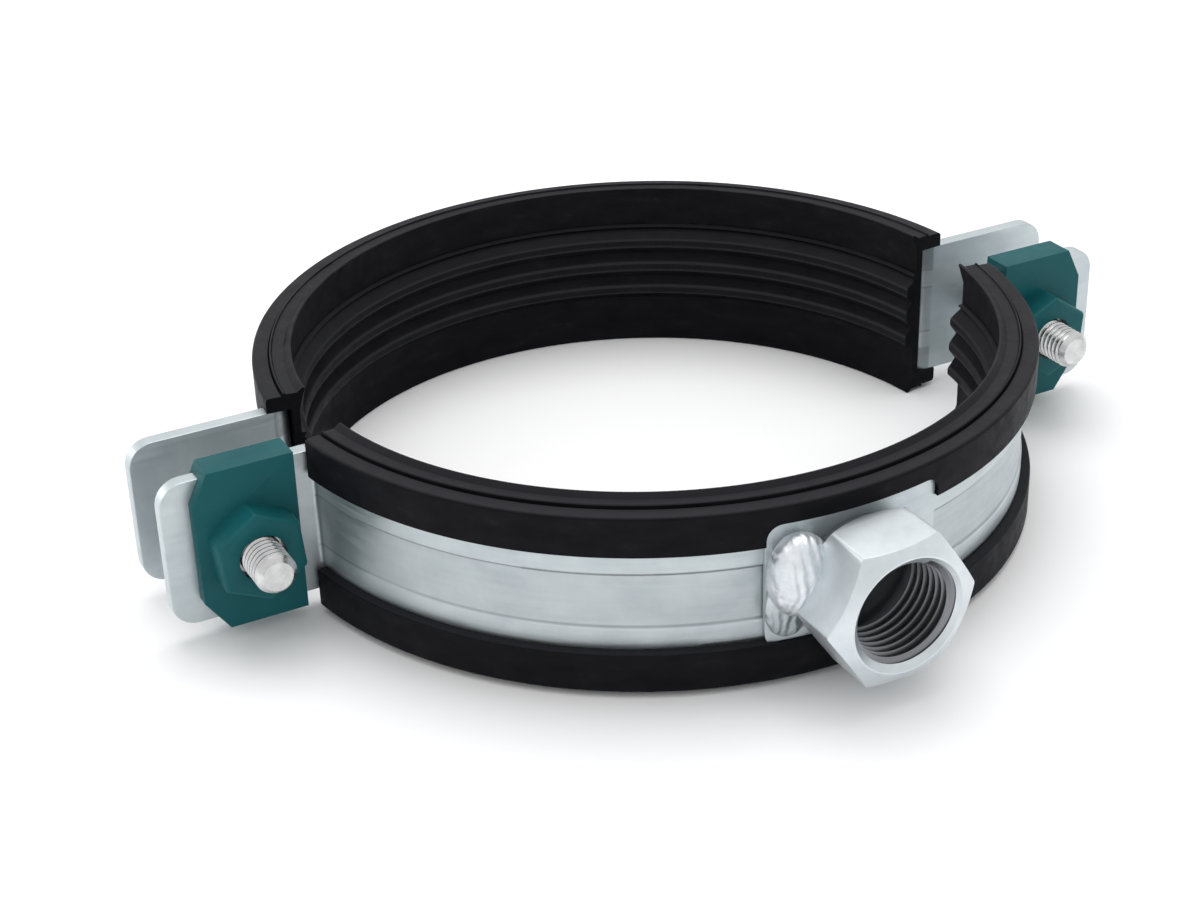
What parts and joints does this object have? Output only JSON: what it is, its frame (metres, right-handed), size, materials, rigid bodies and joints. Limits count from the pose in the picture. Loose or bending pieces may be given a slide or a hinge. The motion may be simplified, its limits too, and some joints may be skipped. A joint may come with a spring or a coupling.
{
  "type": "rubber lined pipe clamp",
  "caption": "Two-part steel pipe clamp with ribbed rubber lining, side screws in plastic nut holders and a welded internally threaded connection nut.",
  "frame": {"origin": "centre of the ring on the pipe's axis, at half the band's height", "axes": "+Z along the pipe, +X through the right-hand ears and their bolt, -Y towards the connection nut"},
  "size_m": [0.213, 0.1735, 0.0384],
  "materials": {
    "zinc_steel": "satin",
    "weld_metal": "satin",
    "bolt_zinc": "satin",
    "rubber": "matte",
    "holder_plastic": "matte"
  },
  "bodies": {
    "front_half": {"front_half_band": "zinc_steel", "front_rubber_lining": "rubber", "saddle_plate": "zinc_steel", "connection_nut": "zinc_steel", "left_weld_bead": "weld_metal", "right_weld_bead": "weld_metal", "left_nut_holder": "holder_plastic", "right_nut_holder": "holder_plastic", "left_locking_nut": "bolt_zinc", "right_locking_nut": "bolt_zinc"},
    "rear_half": {"rear_half_band": "zinc_steel", "rear_rubber_lining": "rubber"},
    "left_screw": {"left_bolt": "bolt_zinc"},
    "right_screw": {"right_bolt": "bolt_zinc"}
  },
  "joints": [
    {"name": "clamp_close", "type": "slide", "parent": "front_half", "child": "rear_half", "axis": [0, -1, 0], "range_m": [-0.006, 0.012]},
    {"name": "left_screw_turn", "type": "hinge", "parent": "rear_half", "child": "left_screw", "pos_m": [-0.0905, 0, 0], "axis": [0, -1, 0], "range_deg": [-1729, 3457]},
    {"name": "right_screw_turn", "type": "hinge", "parent": "rear_half", "child": "right_screw", "pos_m": [0.0905, 0, 0], "axis": [0, -1, 0], "range_deg": [-1729, 3457]}
  ],
  "couplings": [
    {"joint": "left_screw_turn", "follows": "clamp_close", "rad_per_m": 5026.5},
    {"joint": "right_screw_turn", "follows": "clamp_close", "rad_per_m": 5026.5}
  ]
}
